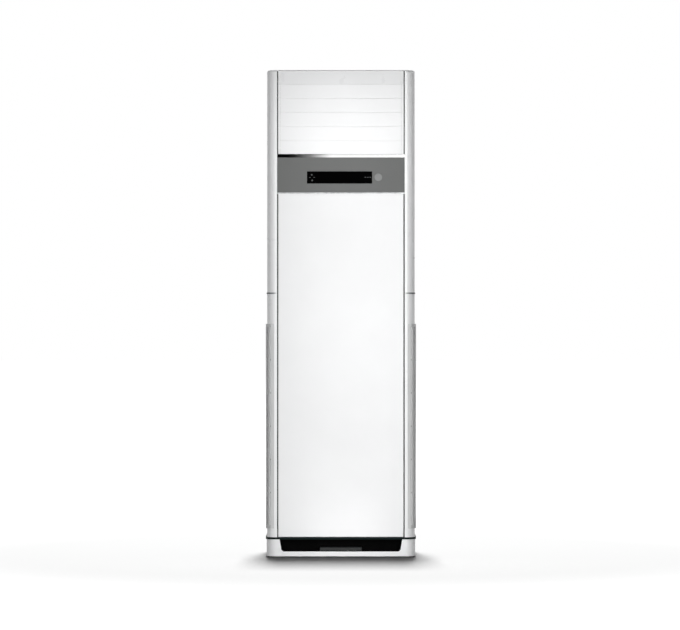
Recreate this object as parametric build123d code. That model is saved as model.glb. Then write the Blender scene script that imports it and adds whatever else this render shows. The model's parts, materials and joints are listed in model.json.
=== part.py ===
from build123d import *
import math
import os

# A floor standing (cabinet) indoor air conditioner, in millimetres.
# X runs to the right, Y to the back, Z up. The origin is on the floor under the middle of the case.

# ---- Driving dimensions -------------------------------------------------------------------------

# The case, seen from above.
column_half = 276.8       # middle of the case to the outside of a side column
case_depth = 380.0
front_radius = 37.0       # round front corner of the columns
back_radius = 8.0
side_wall = 2.5
column_width = 38.1       # of a column, seen from the front
column_gap = 4.0          # dark line between the column and what lies between the columns
return_depth = 30.0       # how far the column's inner edge turns back into the case

# Heights: the base and its pan from the floor up, the rest from the top of the case down.
base_bottom = 4.0
base_top = 67.7
pan_height = 7.5
case_height = 1824.0
seam_drop = 838.0         # underside of the side seam below the top of the case
seam_height = 5.0
cover_height = 17.0
band_height = 53.2        # top of the slats below the top of the case
chrome_height = 12.3
fascia_height = 130.7
panel_gap = 4.0           # dark line between the fascia and the front panel

# Clearances.
seat_gap = 0.3            # a loose piece beside its seat
pivot_gap = 0.05          # a pin in its bore, on the radius
link_gap = 0.3            # a crank pin in the hole of a link bar, on the radius
trim_gap = 0.8            # the lowest slat above the chrome strip
root = 1.0                # how far a joined feature starts inside its neighbour

# Base.
base_overhang = 1.8       # base outside the columns
plinth_wall = 3.0
pan_overhang = 3.0        # dark rim of the base pan outside the base
pan_rim = 8.0
sheet = 2.0               # sheet steel of the pan, the deck and the rails
toe_inset = 5.0           # top corners of the toe recess inside the front panel's edges
toe_slant = 8.0           # its lower corners further in than the top ones
toe_floor = 22.0
toe_depth = 62.0
toe_corner = 12.0
liner_wall = 2.0
ledge_half = 77.8
ledge_height = 14.0
ledge_front = 4.0         # ledge behind the front of the base
ledge_depth = 40.0
groove_heights = (50.0, 57.6)
groove_height = 1.5
groove_depth = 1.2
groove_reach = 14.8       # the grooves run this far in from the column's side
foot_inset_x = 12.8       # middle of a foot inside the column's side
foot_inset_y = 25.0       # and inside the front or the back of the case
foot_radius = 11.0
stud_radius = 4.0
stud_height = 16.0
nut_radius = 7.0
nut_height = 5.0
gusset_size = 36.0
gusset_thickness = 4.0
anchor_inset_x = 76.8     # floor bolts through the pan, inside the column's side
anchor_y = 120.0
anchor_middle_y = 20.0
anchor_radius = 6.0

# Side columns, seams and top.
back_flange = 26.0        # rear edge of the column, turned in under the back panel
strip_proud = 1.9
strip_inside = 4.0
cover_wall = 3.5
cover_round = 7.5
notch_depth = 7.0         # room for the top fascia in the front of the cover
fascia_lean = 3.0         # the top fascia leans back by this much at its top
fascia_wall = 2.0
fascia_bevel = 4.0        # slope under the top fascia, behind its front wall
crown_behind = 1.05       # middle of the round top of the fascia, behind its front
crown_drop = 2.1          # and below the top of the case
seal_behind = 0.5         # foam strip behind the front panel's rear edge
seal_thickness = 3.0      # foam strip beside the outlet and the top fascia
seal_drop = 4.0           # its upper end below the top of the case
back_sheet = 1.5
screw_count = 4           # on each edge, below the seam and again above it
screw_end = 45.0          # first and last screw from the ends of a column
screw_radius = 2.0
screw_head_radius = 4.5
screw_head_height = 1.8
screw_length = 8.0
screw_gap = 0.1
bead_count = 5            # pressed beads that stiffen the back panel
bead_place = 0.75         # middle of a bead in its share of the height
bead_inset = 86.8         # ends of a bead inside the columns' sides
bead_width = 22.0
bead_height = 1.5

# Intake grilles and filters on the lower sides.
grille_bottom = 108.0
grille_drop = 112.5       # top of the grille below the seam
grille_proud = 4.8
grille_edge_angle = 17.0  # degrees round the front corner where the grille starts
grille_full_angle = 33.0  # and where it reaches its full height over the side
grille_back_inset = 27.0  # end of the grille from the back of the case
grille_taper = 13.0
grille_border = 12.0
slot_pitch = 16.0
slot_width = 8.0
first_slot_angle = 37.6
tie_count = 5
tie_height = 5.0
tie_thickness = 2.0
tie_angle = 5.0           # ties start this much before the grille's full height
window_margin = 10.0      # grille outside its window, above and below
window_reach = 18.8       # window cut in from the column's side
window_front_inset = 12.0
window_back_inset = 45.0
filter_reach = 14.8       # inner face of the filter, in from the column's side
filter_thickness = 3.0
filter_front_inset = 44.0
filter_back_inset = 56.0
filter_border = 10.0
filter_rib = 3.0
filter_net = 0.8
filter_rows = 8           # fields of the filter, upwards
filter_columns = 4        # and from front to back
standoff_width = 6.0
ledge_thickness = 5.4
finger_radius = 12.0      # finger groove above the grille
finger_wall = 2.5
finger_offset = 7.0
finger_inset = 40.0       # ends of the groove from the front and back of the case
finger_above = 10.5       # middle of the groove above the grille

# Louver slats.
louver_count = 5
louver_pitch = 52.9
louver_tuck = 2.2         # the lowest slat is this much shorter
louver_end_gap = 0.6      # slat's end beside the white strip
louver_wall = 2.0
louver_seam = 1.0
louver_lip = 5.0
lip_thickness = 1.5
pivot_behind = 16.0       # slat pivot behind the front of the case
pin_radius = 2.5
ear_thickness = 2.5
ear_radius = 5.0
ear_foot = 9.0
crank_offset = 10.0
crank_angle = 37.5
crank_radius = 2.0
crank_wall = 2.0          # crank arm round its pin
link_offset = 1.5         # link bar outside the slats' ends
link_width = 6.0
link_thickness = 2.5
link_end = 6.0

# Outlet frame and vanes.
strip_width = 7.6         # white strip beside the slats
frame_wall = 2.5
frame_drop = 9.5          # frame's underside below the chrome strip's top
frame_rise = 11.2         # frame's ceiling above the slats
frame_floor = 4.0
flange_thickness = 2.5
fascia_back = 7.5         # fascia, chrome and flange stay in front of the frame's body
ear_width = 6.0
vane_count = 6
vane_end = 44.7           # outer vanes from the sides of the outlet
vane_pivot_inset = 86.0   # vane pivot behind the front of the case
vane_reach = 32.0         # vane ahead of its pivot, and behind it
vane_thickness = 2.0
vane_floor_gap = 13.0
vane_ceiling_gap = 8.0
vane_pin_root = 4.0
vane_crank_inset = 4.0    # crank pin ahead of the vane's rear edge
vane_link_width = 8.0
vane_link_gap = 6.0       # link bar above the frame's floor
vane_link_height = 4.0
duct_behind = 12.0        # duct behind the vanes
motor_radius = 11.0
louver_motor_length = 9.0
vane_motor_length = 18.0
motor_shaft_hole = 6.0

# Control fascia.
chrome_proud = 1.0
chrome_round = 1.5
fascia_thickness = 3.0
fascia_return = 18.0
window_x = -5.0
window_drop = 74.5        # middle of the window below the fascia's top
window_half_width = 122.0
window_half_height = 22.8
window_fit = 0.2
window_rim = 4.0
window_rim_height = 3.2
window_rim_thickness = 5.0
window_proud = 0.4
board_past_button = 24.7
board_thickness = 1.6
button_x = 140.3
button_lift = 0.8         # button's middle above the window's
button_radius = 14.0
button_rim = 2.0
button_rim_thickness = 1.5
button_proud = 0.8
button_travel = 1.0
button_depth = 6.8
switch_radius = 2.0

# Front panel and its rail.
panel_bottom_gap = 0.8
panel_wall = 2.5
panel_depth = 14.0
panel_round = 2.5
panel_top_return = 8.0
hinge_inset = 12.0        # hinge pins behind the front of the case
hinge_drop = 8.5          # and below the panel's top
hinge_radius = 3.0
clip_x = 150.0
clip_width = 9.0
clip_radius = 5.0
cheek_gap = 1.0
cheek_thickness = 2.0
cheek_step = 1.0          # a cheek's top below the clip's
rail_inset = 18.0
rail_sheet = 1.5
rail_below = 23.0         # rail below the hinge pins
rail_above = 19.0         # and above them
rail_flange = 12.0

# Fan, placed from the back panel forwards and from the deck down.
fan_drop = 420.0          # middle of the fan below the deck
deck_drop = 6.0           # underside of the deck below the seam
deck_corner = 34.0
motor_standoff = 28.5     # back of the motor in front of the back panel
fan_motor_radius = 65.0
fan_motor_length = 76.0
motor_hole = 70.0
boss_radius = 20.0
boss_length = 4.0
scroll_depth = 132.0
scroll_wall = 2.0
tongue_angle = 75.0
tongue_gap = 15.0         # tongue outside the wheel
scroll_growth = 55.0
spiral_steps = 12
bell_throat = 125.0
bell_round = 20.0
bell_wall = 2.0
bell_flange = 150.0
wheel_radius = 165.0
blade_reach = 28.0
wheel_gap_front = 10.0    # wheel inside the scroll
wheel_gap_back = 23.0
wheel_plate = 2.0
blade_count = 36
blade_round = 24.0
blade_thickness = 1.5
blade_margin = 0.5        # blade's edge inside the ring's
hub_radius = 22.0
hub_length = 40.0
hub_behind = 13.0         # hub behind the wheel's back plate
shaft_radius = 8.0
shaft_ahead = 10.0        # shaft ahead of the hub
shaft_in_motor = 25.0
bracket_half_width = 105.0
bracket_half_height = 75.0
bracket_sheet = 3.0
bracket_leg_radius = 8.0

# Evaporator, drain and pipes.
coil_foot_inset = 85.0    # middle of the coil's lower end behind the front of the case
coil_foot_lift = 48.0     # and above the deck
coil_head_inset = 40.0    # middle of its upper end in front of the back of the case
coil_head_drop = 29.0     # and below the outlet frame
coil_thickness = 50.0
coil_room = 76.8          # room for bends and pipes between the fins and the columns' outside
fin_count = 41
fin_thickness = 1.2
tube_radius = 5.0
tube_hole_gap = 0.02
tube_rows = (-12.0, 12.0)
tube_count = 10
tube_margin = 29.3        # end tubes from the ends of the fins
tube_past_fins = 7.0      # where the tubes start to bend
stub_past_fins = 13.0     # where the open ends stop
end_plate = 2.0
plate_foot_half = 18.0
plate_arm_height = 25.0
plate_arm_drop = 5.0      # arm below the coil's upper end
plate_arm_root = 20.0
pan_past_fins = 24.0
pan_ahead = 53.0          # drain pan ahead of the coil's foot
pan_behind = 40.0
drain_pan_height = 33.0
drain_ahead = 10.0        # drain ahead of the coil's foot
drain_radius = 10.0
drain_bore = 8.0
drain_bend = 40.0
drain_offset = 12.0       # drain inside the middle of the pipe exit
gas_radius = 7.94
gas_past_stub = 17.0      # gas pipe beside the open end of its tube
gas_exit_z = 260.0
gas_bend = 15.0
liquid_radius = 4.76
liquid_past_stub = 19.0
liquid_exit_z = 200.0
liquid_bend = 15.0
stub_inset = 5.5          # ends of the pipes in front of the back panel
pipe_hole_gap = 2.0
exit_offset = 6.0         # middle of the pipe exit inside the gas pipe
exit_half_width = 26.0
exit_half_height = 60.0

# Electrical parts.
box_half = 180.0
box_depth = 55.5
box_height = 245.0
box_overlap = 5.0         # box over the foot of the rail
box_sheet = 1.2
board_beside = 30.0       # room round the control board: at its sides, below and above
board_below = 60.0
board_above = 25.0
standoff_radius = 4.0
standoff_height = 5.0
standoff_inset = 10.0
capacitor_count = 3
capacitor_radius = 13.0
capacitor_height = 26.0
capacitor_pitch = 34.0
capacitor_left = 40.0
relay_count = 4
relay_width = 19.0
relay_height = 28.0
relay_depth = 15.0
relay_pitch = 26.0
relay_left = 20.0
relay_drop = 20.0
heatsink_half = 30.0
heatsink_height = 42.0
heatsink_depth = 22.0
heatsink_lift = 50.0
plug_row_outer = 130.0
plug_row_inner = 60.0
plug_row_height = 12.0
plug_row_lift = 14.0
block_width = 90.0
block_height = 28.0
block_depth = 24.0
block_ways = 6
block_sill = 8.0          # solid foot below the terminal slots
gland_inset = 76.8        # gland inside the left column's side
gland_z = 230.0
gland_bore = 6.5
gland_body = 10.0
gland_nut = 14.0
gland_inside = 12.0
gland_outside = 3.0

# ---- Values worked out from them ----------------------------------------------------------------

front = -case_depth / 2
back = case_depth / 2
side_back = back - back_sheet
column_inner = column_half - column_width
panel_half = column_inner - column_gap      # half width of the front panel and of the outlet
corner_x = column_half - front_radius
corner_y = front + front_radius

pan_top = base_top + pan_height
seam_bottom = case_height - seam_drop
strip_top = seam_bottom + seam_height
cover_bottom = case_height - cover_height
louver_top = case_height - band_height
chrome_top = louver_top - louver_count * louver_pitch + louver_tuck
fascia_top = chrome_top - chrome_height
fascia_bottom = fascia_top - fascia_height
panel_top = fascia_bottom - panel_gap

toe_half_top = panel_half - toe_inset
toe_half_bottom = toe_half_top - toe_slant
groove_start = column_half - groove_reach
foot_x = column_half - foot_inset_x
foot_y = back - foot_inset_y
anchor_x = column_half - anchor_inset_x
bead_half = column_half - bead_inset
gland_x = gland_inset - column_half

grille_top = seam_bottom - grille_drop
grille_back = back - grille_back_inset
window_inner = column_half - window_reach
window_front = front + window_front_inset
window_back = back - window_back_inset
filter_inner = column_half - filter_reach
filter_front = front + filter_front_inset
filter_back = back - filter_back_inset
finger_half = back - finger_inset
groove_middle = grille_top + finger_above

flange_half = panel_half - strip_width
louver_half = flange_half - louver_end_gap
louver_low = chrome_top + trim_gap
pivot_y = front + pivot_behind
link_start = louver_half + link_offset

frame_bottom = chrome_top - frame_drop
frame_ceiling = louver_top + frame_rise
vane_pitch = 2 * (panel_half - vane_end) / (vane_count - 1)
vane_pivot = front + vane_pivot_inset
vane_front = vane_pivot - vane_reach
vane_back = vane_pivot + vane_reach
vane_crank = vane_back - vane_crank_inset
vane_bottom = frame_bottom + frame_floor + vane_floor_gap
vane_top = frame_ceiling - vane_ceiling_gap
vane_link_bottom = frame_bottom + frame_floor + vane_link_gap
frame_back = vane_back + duct_behind
ear_back = front + return_depth
ear_front = ear_back - ear_width

window_z = fascia_top - window_drop
button_z = window_z + button_lift
board_half_height = window_half_height + window_rim_height
board_right = button_x + board_past_button

hinge_y = front + hinge_inset
hinge_z = panel_top - hinge_drop
rail_front = front + rail_inset
rail_bottom = hinge_z - rail_below
rail_top = hinge_z + rail_above

deck_bottom = seam_bottom - deck_drop
deck_top = deck_bottom + sheet
deck_front = front + return_depth + seat_gap
fan_z = deck_bottom - fan_drop
fan_motor_back = side_back - motor_standoff
fan_motor_front = fan_motor_back - fan_motor_length
scroll_back = fan_motor_front - boss_length
scroll_front = scroll_back - scroll_depth
tongue_radius = wheel_radius + tongue_gap
duct_reach = tongue_radius + scroll_growth
tongue_x = tongue_radius * math.cos(math.radians(tongue_angle))
inlet_radius = bell_throat + bell_wall + seat_gap
wheel_inner = wheel_radius - blade_reach
wheel_front = scroll_front + wheel_gap_front
wheel_back = scroll_back - wheel_gap_back
hub_back = wheel_back + hub_behind
hub_front = hub_back - hub_length
shaft_front = hub_front - shaft_ahead
shaft_back = fan_motor_front + shaft_in_motor

coil_foot = (front + coil_foot_inset, deck_top + coil_foot_lift)     # Y and Z
coil_head = (back - coil_head_inset, frame_bottom - coil_head_drop)
coil_lean = math.degrees(math.atan2(coil_head[0] - coil_foot[0], coil_head[1] - coil_foot[1]))
coil_length = math.hypot(coil_head[0] - coil_foot[0], coil_head[1] - coil_foot[1])
tube_pitch = (coil_length - 2 * tube_margin) / (tube_count - 1)
coil_half = column_half - coil_room
tube_end = coil_half + tube_past_fins
tube_stub = coil_half + stub_past_fins
plate_arm_top = coil_head[1] - plate_arm_drop
plate_arm_front = coil_head[0] - plate_arm_root
pan_half = coil_half + pan_past_fins
pan_front = coil_foot[0] - pan_ahead
pan_back = coil_foot[0] + pan_behind
stub_end = side_back - stub_inset
gas_x = tube_stub + gas_past_stub
liquid_x = tube_stub + liquid_past_stub
exit_x = gas_x - exit_offset
exit_z = (gas_exit_z + liquid_exit_z) / 2
drain_x = exit_x - drain_offset
drain_y = coil_foot[0] - drain_ahead

box_front = rail_front + rail_sheet
box_back = box_front + box_depth
box_top = rail_bottom + box_overlap
box_bottom = box_top - box_height
board_half_width = box_half - board_beside
board_bottom = box_bottom + board_below
board_top = box_top - board_above


# ---- Plain shapes -------------------------------------------------------------------------------

def block(x0, x1, y0, y1, z0, z1):
    """A box between two corners."""
    middle = Pos((x0 + x1) / 2, (y0 + y1) / 2, (z0 + z1) / 2)
    return middle * Box(x1 - x0, y1 - y0, z1 - z0)


def rod_x(y, z, radius, x0, x1):
    """A round bar along X."""
    return Pos((x0 + x1) / 2, y, z) * Rot(0, 90, 0) * Cylinder(radius, x1 - x0)


def rod_y(x, z, radius, y0, y1):
    """A round bar along Y."""
    return Pos(x, (y0 + y1) / 2, z) * Rot(90, 0, 0) * Cylinder(radius, y1 - y0)


def rod_z(x, y, radius, z0, z1):
    """A round bar along Z."""
    return Pos(x, y, (z0 + z1) / 2) * Cylinder(radius, z1 - z0)


def slab_x(sketch, x0, x1):
    """A sketch drawn in Y and Z, as a plate from x0 to x1."""
    return extrude(Plane(origin=(x0, 0, 0), x_dir=(0, 1, 0), z_dir=(1, 0, 0)) * sketch, x1 - x0)


def slab_y(sketch, y0, y1):
    """A sketch drawn in X and Z, as a plate from y0 to y1."""
    return extrude(Plane(origin=(0, y1, 0), x_dir=(1, 0, 0), z_dir=(0, -1, 0)) * sketch, y1 - y0)


def slab_z(sketch, z0, z1):
    """A sketch drawn in X and Y, as a plate from z0 to z1."""
    return extrude(Pos(0, 0, z0) * sketch, z1 - z0)


def both_sides(piece):
    """The piece and its mirror image on the other side of the case."""
    return Part() + [piece, mirror(piece, about=Plane.YZ)]


def plan(grow, rear=back):
    """The case seen from above, grown outwards all round: round front corners, tighter rear ones."""
    half = column_half + grow
    rear += grow
    face = Pos(0, (front - grow + rear) / 2) * Rectangle(2 * half, rear - front + grow)
    corners = face.vertices().sort_by(Axis.Y)
    face = fillet(corners[:2], front_radius + grow)
    rears = face.vertices().sort_by(Axis.Y)[-2:]
    return fillet(rears, back_radius + grow)


def corner_point(grow, angle):
    """A point grow outside the right front corner, angle degrees round from straight ahead."""
    radius = front_radius + grow
    turn = math.radians(angle)
    return (corner_x + radius * math.sin(turn), corner_y - radius * math.cos(turn))


# ---- Base ---------------------------------------------------------------------------------------

def toe_outline(inset):
    """Front view of the toe recess: slanted sides and round lower corners."""
    low = toe_floor + inset
    shape = make_face(Polyline(
        (-toe_half_top + inset, base_top - inset),
        (-toe_half_bottom + inset, low),
        (toe_half_bottom - inset, low),
        (toe_half_top - inset, base_top - inset),
        close=True,
    ))
    bottoms = shape.vertices().sort_by(Axis.Y)[:2]
    return fillet(bottoms, toe_corner - inset)


def base_plinth():
    """White base: a ring of wall with the toe opening, two grooves at the corners and foot gussets."""
    outside = slab_z(plan(base_overhang), base_bottom, base_top)
    hollow = slab_z(plan(base_overhang - plinth_wall), base_bottom, base_top)
    ring = outside - hollow
    ring -= slab_y(toe_outline(0), front - base_overhang, corner_y)
    for height in groove_heights:
        bigger = slab_z(plan(base_overhang + root), height, height + groove_height)
        smaller = slab_z(plan(base_overhang - groove_depth), height, height + groove_height)
        middle = block(-groove_start, groove_start, -case_depth, case_depth, height, height + groove_height)
        ring -= bigger - smaller - middle
    floor = slab_z(plan(base_overhang - plinth_wall), base_bottom, base_bottom + gusset_thickness)
    for x in (-foot_x, foot_x):
        for y in (-foot_y, foot_y):
            corner = Pos(x, y, base_bottom) * Box(gusset_size, gusset_size, 4 * gusset_thickness)
            ring += floor & corner
            ring -= rod_z(x, y, stud_radius + seat_gap, base_bottom, base_bottom + gusset_thickness)
    return ring


def toe_recess_liner():
    """Black tray that lines the toe recess, open to the front."""
    tray = slab_y(toe_outline(0), front - base_overhang, front + toe_depth)
    return tray - slab_y(toe_outline(liner_wall), front - base_overhang, front + toe_depth - liner_wall)


def toe_ledge():
    """Low ledge in the middle of the toe recess, with a round front edge."""
    bottom = toe_floor + liner_wall
    start = front + ledge_front
    bar = block(-ledge_half, ledge_half, start, start + ledge_depth, bottom, bottom + ledge_height)
    edge = bar.edges().filter_by(Axis.X).sort_by(Axis.Z)[-2:].sort_by(Axis.Y)[0]
    return fillet(edge, ledge_height / 3)


def base_pan():
    """Steel pan under the case: a sheet with floor bolt holes and a rim that shows as the dark seam."""
    outer = base_overhang + pan_overhang
    pan = slab_z(plan(outer), base_top, pan_top)
    inner = outer - pan_rim
    pan -= slab_z(plan(inner), base_top, pan_top - sheet)
    for x in (-anchor_x, anchor_x):
        for y in (anchor_middle_y - anchor_y, anchor_middle_y + anchor_y):
            pan -= rod_z(x, y, anchor_radius, base_top, pan_top)
    return pan


def levelling_feet():
    """Four feet: a disc on the floor, a stud up through the gusset and its nut."""
    gusset_top = base_bottom + gusset_thickness
    feet = []
    for x in (-foot_x, foot_x):
        for y in (-foot_y, foot_y):
            foot = rod_z(x, y, foot_radius, 0, base_bottom)
            foot += rod_z(x, y, stud_radius, 0, base_bottom + stud_height)
            nut = Pos(x, y) * RegularPolygon(nut_radius, 6)
            foot += slab_z(nut, gusset_top, gusset_top + nut_height)
            feet.append(foot)
    return Part() + feet


# ---- Side columns, seams and top ----------------------------------------------------------------

def column_section():
    """Plan section of the right column: front edge, its return, round corner, side and rear flange."""
    ring = plan(0, side_back) - plan(-side_wall, side_back)
    reach = column_half - column_inner
    section = ring & (Pos(column_inner + reach / 2, 0) * Rectangle(reach, 2 * case_depth))
    gap_behind = column_half - back_flange - column_inner
    section -= Pos(column_inner + gap_behind / 2, back) * Rectangle(gap_behind, case_depth / 2)
    turned_in = Pos(column_inner + side_wall / 2, front + return_depth / 2)
    return section + turned_in * Rectangle(side_wall, return_depth)


def screw_places(low, high):
    """X and Z places of the screws that hold the back panel to both columns between two heights."""
    x = column_half - back_flange / 2
    step = (high - low - 2 * screw_end) / (screw_count - 1)
    heights = [low + screw_end + i * step for i in range(screw_count)]
    return [(side, height) for height in heights for side in (-x, x)]


def lower_screws():
    """Places of the screws below the seam."""
    return screw_places(pan_top, seam_bottom)


def upper_screws():
    """Places of the screws above the seam."""
    return screw_places(strip_top, cover_bottom)


def screw_holes(places):
    """Round bars that cut the screw holes."""
    return [rod_y(x, z, screw_radius + screw_gap, back - screw_length, back) for x, z in places]


def upper_side():
    """Right column above the seam."""
    column = slab_z(column_section(), strip_top, cover_bottom)
    return column - screw_holes(upper_screws())


def grille_window():
    """The hole that the intake grille covers, with its margin inside the grille's edge."""
    low = grille_bottom + window_margin
    high = grille_top - window_margin
    return block(window_inner, column_half + root, window_front, window_back, low, high)


def lower_side():
    """Right column below the seam, with the intake window and the finger groove above it."""
    column = slab_z(column_section(), pan_top, seam_bottom)
    groove_x = column_half + finger_offset
    shell_end = finger_half + finger_wall
    shell = rod_y(groove_x, groove_middle, finger_radius + finger_wall, -shell_end, shell_end)
    inside = block(corner_x, column_half, corner_y, shell_end, pan_top, seam_bottom)
    column += shell & inside
    column -= rod_y(groove_x, groove_middle, finger_radius, -finger_half, finger_half)
    column -= grille_window()
    return column - screw_holes(lower_screws())


def seam_strips():
    """Dark strips between the lower and upper columns, a little proud of them."""
    ring = plan(strip_proud, side_back - strip_proud) - plan(-strip_inside, side_back)
    reach = column_half + strip_proud - column_inner
    section = ring & (Pos(column_inner + reach / 2, 0) * Rectangle(reach, 2 * case_depth))
    return both_sides(slab_z(section, seam_bottom, strip_top))


def top_cover():
    """Lid over both columns, round at its upper edge and notched in front for the top fascia."""
    lid = slab_z(plan(0), cover_bottom, case_height)
    top_edges = lid.edges().group_by(Axis.Z)[-1]
    lid = fillet(top_edges, cover_round)
    notch_back = front + notch_depth
    middle_wall = block(-column_inner - cover_wall, column_inner + cover_wall, front, notch_back + cover_wall,
                        cover_bottom, case_height)
    hollow = slab_z(plan(-cover_wall), cover_bottom, case_height - cover_wall)
    lid -= hollow - middle_wall
    return lid - block(-column_inner, column_inner, front - root, notch_back, cover_bottom, case_height)


def top_fascia():
    """Fixed band above the slats: it leans back a little and rounds over into the lid."""
    notch_back = front + notch_depth
    shoulder = case_height - 2 * cover_wall
    low = louver_top + louver_seam / 2
    outside = Polyline((notch_back, case_height), (notch_back, cover_bottom),
                       (notch_back - root, cover_bottom), (front + fascia_wall, low + fascia_bevel),
                       (front + fascia_wall / 2, low), (front, low), (front + fascia_lean, shoulder))
    crown_middle = (front + fascia_lean + crown_behind, case_height - crown_drop)
    crown = ThreePointArc((front + fascia_lean, shoulder), crown_middle, (notch_back, case_height))
    return slab_x(make_face(outside + crown), -panel_half, panel_half)


def gap_seals():
    """Black foam strips that close the gaps beside the front panel, the outlet and the top fascia."""
    lower = block(panel_half + seat_gap, column_inner, front + panel_depth + seal_behind, rail_front,
                  pan_top, panel_top)
    notch_back = front + notch_depth
    upper = block(panel_half, column_inner, notch_back - seal_thickness, notch_back, chrome_top,
                  case_height - seal_drop)
    return both_sides(lower) + both_sides(upper)


def exit_slot(y0, y1):
    """The pipe exit: an upright slot with round ends."""
    slot = Pos(exit_x, exit_z) * Rot(0, 0, 90) * SlotOverall(2 * exit_half_height, 2 * exit_half_width)
    return slab_y(slot, y0, y1)


def back_panel():
    """Steel back with pressed beads, the pipe exit, the hole for the cable gland and the screw holes."""
    half = column_half - back_flange / 2 + screw_head_radius + root
    panel = block(-half, half, side_back, back, pan_top, cover_bottom)
    spacing = (cover_bottom - pan_top) / bead_count
    for i in range(bead_count):
        bead = Pos(0, pan_top + (i + bead_place) * spacing) * SlotOverall(2 * bead_half, bead_width)
        panel += slab_y(bead, back - back_sheet / 2, back + bead_height)
    panel -= exit_slot(side_back, back)
    panel -= rod_y(gland_x, gland_z, gland_body, side_back, back)
    return panel - screw_holes(lower_screws() + upper_screws())


def case_screws():
    """Pan-head screws that hold the back panel."""
    screws = []
    for x, z in lower_screws() + upper_screws():
        shank = rod_y(x, z, screw_radius, back - screw_length, back)
        screws.append(shank + rod_y(x, z, screw_head_radius, back, back + screw_head_height))
    return Part() + screws


# ---- Intake grilles and filters -----------------------------------------------------------------

def grille_section(proud, start_angle, full_angle):
    """Plan section of a grille layer between its seat on the side and proud outside it."""
    inner_start = corner_point(seat_gap, start_angle)
    outer_start = corner_point(proud, full_angle)
    halfway = (full_angle + 90) / 2
    outer_side = column_half + proud
    inner_side = column_half + seat_gap
    outline = Line(inner_start, outer_start)
    outline += ThreePointArc(outer_start, corner_point(proud, halfway), (outer_side, corner_y))
    outline += Polyline((outer_side, corner_y), (outer_side, grille_back - grille_taper),
                        (inner_side, grille_back), (inner_side, corner_y))
    middle = corner_point(seat_gap, (start_angle + 90) / 2)
    outline += ThreePointArc((inner_side, corner_y), middle, inner_start)
    return make_face(outline)


def slot_rows():
    """Where the upright slots are: angles round the corner, then Y places along the side."""
    step = math.degrees(slot_pitch / (front_radius + grille_proud))
    angles = []
    angle = first_slot_angle
    while angle < 90:
        angles.append(angle)
        angle += step
    first = corner_y + math.radians(angle - 90) * (front_radius + grille_proud)
    count = int((grille_back - grille_taper - slot_width - first) // slot_pitch) + 1
    return angles, [first + i * slot_pitch for i in range(count)]


def inlet_grille():
    """Right intake grille: upright bars round the corner and along the side, ties, standoffs and ledge."""
    skin = grille_section(grille_proud, grille_edge_angle, grille_full_angle)
    grille = slab_z(skin, grille_bottom, grille_top)
    low = grille_bottom + grille_border
    high = grille_top - grille_border
    angles, places = slot_rows()
    reach = front_radius + grille_proud
    slot = Pos(0, -reach) * Rectangle(slot_width, reach / 2)
    cutters = []
    for angle in angles:
        cutters.append(slab_z(Pos(corner_x, corner_y) * Rot(0, 0, angle) * slot, low, high))
    for place in places:
        cutters.append(block(corner_x + reach / 2, corner_x + 2 * reach, place - slot_width / 2,
                             place + slot_width / 2, low, high))
    grille -= cutters
    tie = grille_section(tie_thickness + seat_gap, grille_full_angle - tie_angle, grille_full_angle)
    bay = (high - low - tie_count * tie_height) / (tie_count + 1)
    ties = []
    for i in range(tie_count):
        start = low + bay + i * (bay + tie_height)
        ties.append(slab_z(tie, start, start + tie_height))
    grille += ties
    seat_x = column_half + seat_gap
    filter_outer = filter_inner + filter_thickness
    window_low = grille_bottom + window_margin + seat_gap
    window_high = grille_top - window_margin - seat_gap
    standoffs = []
    for place in (places[0] + slot_pitch / 2, places[-2] + slot_pitch / 2):
        standoffs.append(block(filter_outer + seat_gap, seat_x + tie_thickness, place - standoff_width / 2,
                               place + standoff_width / 2, window_low, window_high))
    standoffs.append(block(window_inner, seat_x + tie_thickness, filter_front, filter_back, window_low,
                           window_low + ledge_thickness))
    return grille + standoffs


def air_filter():
    """Right filter: a frame with ribs and a fine net, standing on the grille's ledge."""
    outer = filter_inner + filter_thickness
    low = grille_bottom + window_margin + ledge_thickness + 2 * seat_gap
    high = grille_top - window_margin - 2 * seat_gap
    length = high - low
    width = filter_back - filter_front
    frame = block(filter_inner, outer, filter_front, filter_back, low, high)
    frame -= block(filter_inner, outer, filter_front + filter_border, filter_back - filter_border,
                   low + filter_border, high - filter_border)
    middle = (filter_inner + outer) / 2
    frame += block(middle - filter_net / 2, middle + filter_net / 2, filter_front + filter_border / 2,
                   filter_back - filter_border / 2, low + filter_border / 2, high - filter_border / 2)
    ribs = []
    for i in range(1, filter_rows):
        z = low + i * length / filter_rows
        ribs.append(block(filter_inner, outer, filter_front + root, filter_back - root, z - filter_rib / 2,
                          z + filter_rib / 2))
    for i in range(1, filter_columns):
        y = filter_front + i * width / filter_columns
        ribs.append(block(filter_inner, outer, y - filter_rib / 2, y + filter_rib / 2, low + root,
                          high - root))
    return frame + ribs


# ---- Louver slats -------------------------------------------------------------------------------

def louver_z(index):
    """Height of a slat's pivot, counted from the top."""
    return louver_top - (index + 0.5) * louver_pitch


def crank_place():
    """Crank pin from the slat's pivot, in Y and Z, with the slats closed."""
    turn = math.radians(crank_angle)
    return (crank_offset * math.cos(turn), crank_offset * math.sin(turn))


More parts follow.
